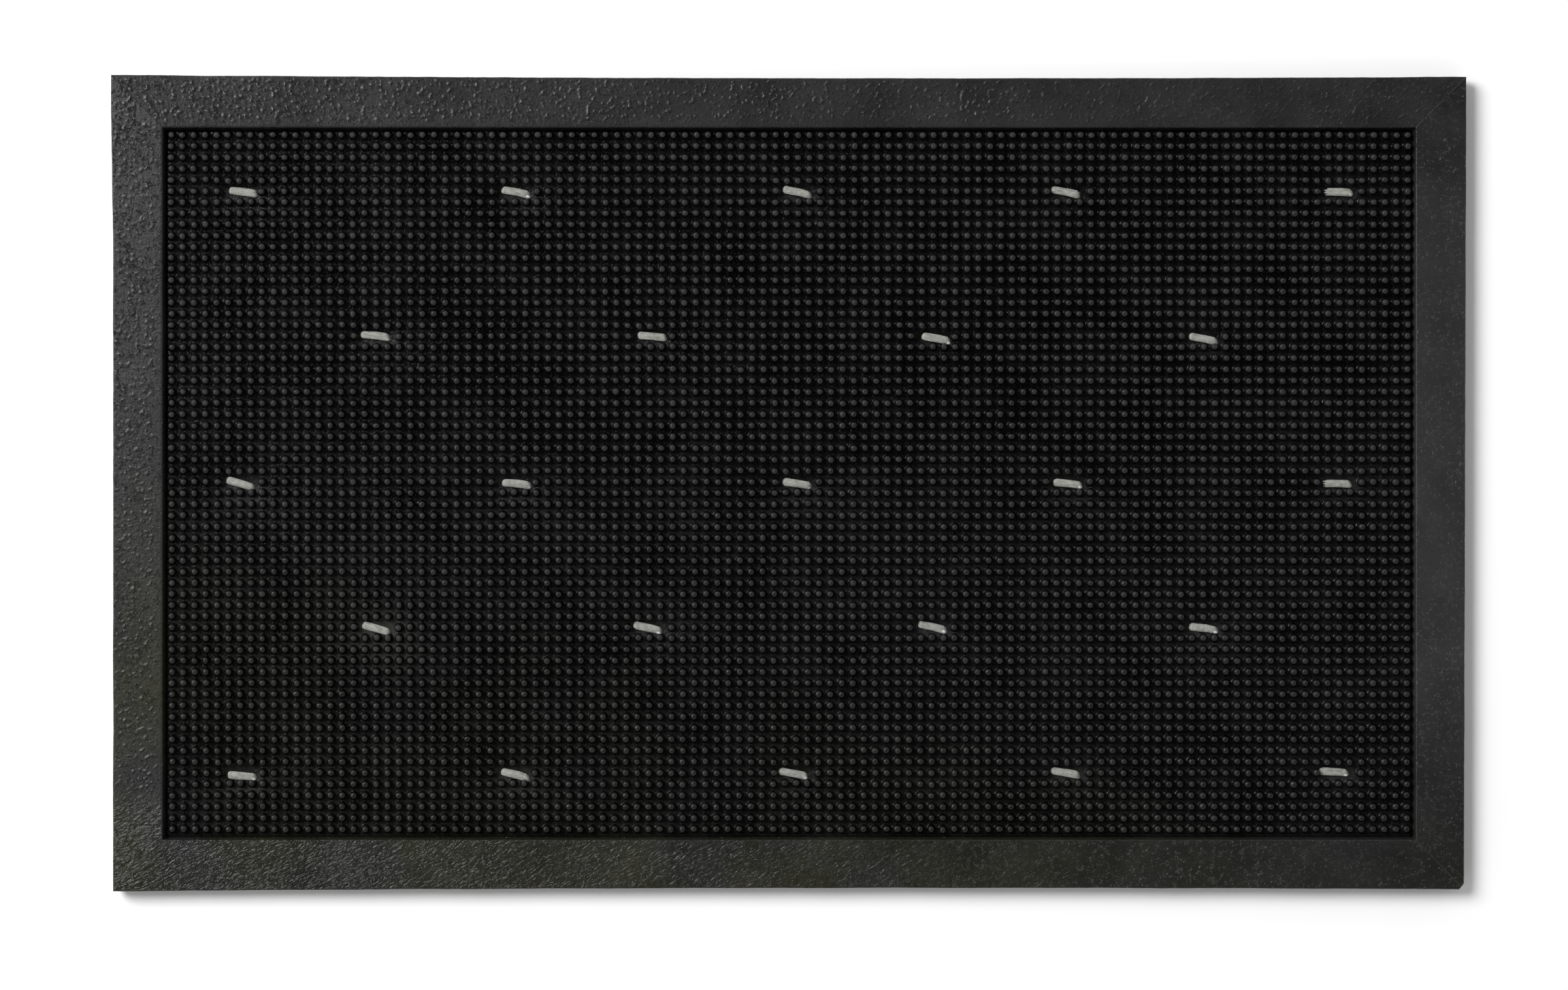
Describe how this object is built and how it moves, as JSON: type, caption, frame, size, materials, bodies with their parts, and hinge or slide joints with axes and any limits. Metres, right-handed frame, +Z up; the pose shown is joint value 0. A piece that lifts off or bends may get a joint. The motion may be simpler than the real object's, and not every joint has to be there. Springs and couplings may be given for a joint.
{
  "type": "rubber door mat",
  "caption": "Rectangular rubber scraper door mat with a ramped border and a recessed bed of pins, tacked with flat cord to a felt underlay.",
  "frame": {"origin": "middle of the flat underside, on the surface the mat lies on", "axes": "+X along the length, +Y across the width, +Z up out of the pin bed"},
  "size_m": [0.75, 0.45, 0.0115],
  "materials": {
    "rubber": "matt moulded black rubber with a fine leather grain on the border",
    "felt": "needle-punched charcoal felt",
    "cord": "flat light grey filament cord"
  },
  "bodies": {
    "root": {"rubber_mat": "rubber", "underlay": "felt", "tack_row_1_no_1": "cord", "tack_row_1_no_2": "cord", "tack_row_1_no_3": "cord", "tack_row_1_no_4": "cord", "tack_row_1_no_5": "cord", "tack_row_2_no_1": "cord", "tack_row_2_no_2": "cord", "tack_row_2_no_3": "cord", "tack_row_2_no_4": "cord", "tack_row_3_no_1": "cord", "tack_row_3_no_2": "cord", "tack_row_3_no_3": "cord", "tack_row_3_no_4": "cord", "tack_row_3_no_5": "cord", "tack_row_4_no_1": "cord", "tack_row_4_no_2": "cord", "tack_row_4_no_3": "cord", "tack_row_4_no_4": "cord", "tack_row_5_no_1": "cord", "tack_row_5_no_2": "cord", "tack_row_5_no_3": "cord", "tack_row_5_no_4": "cord", "tack_row_5_no_5": "cord"}
  },
  "joints": []
}
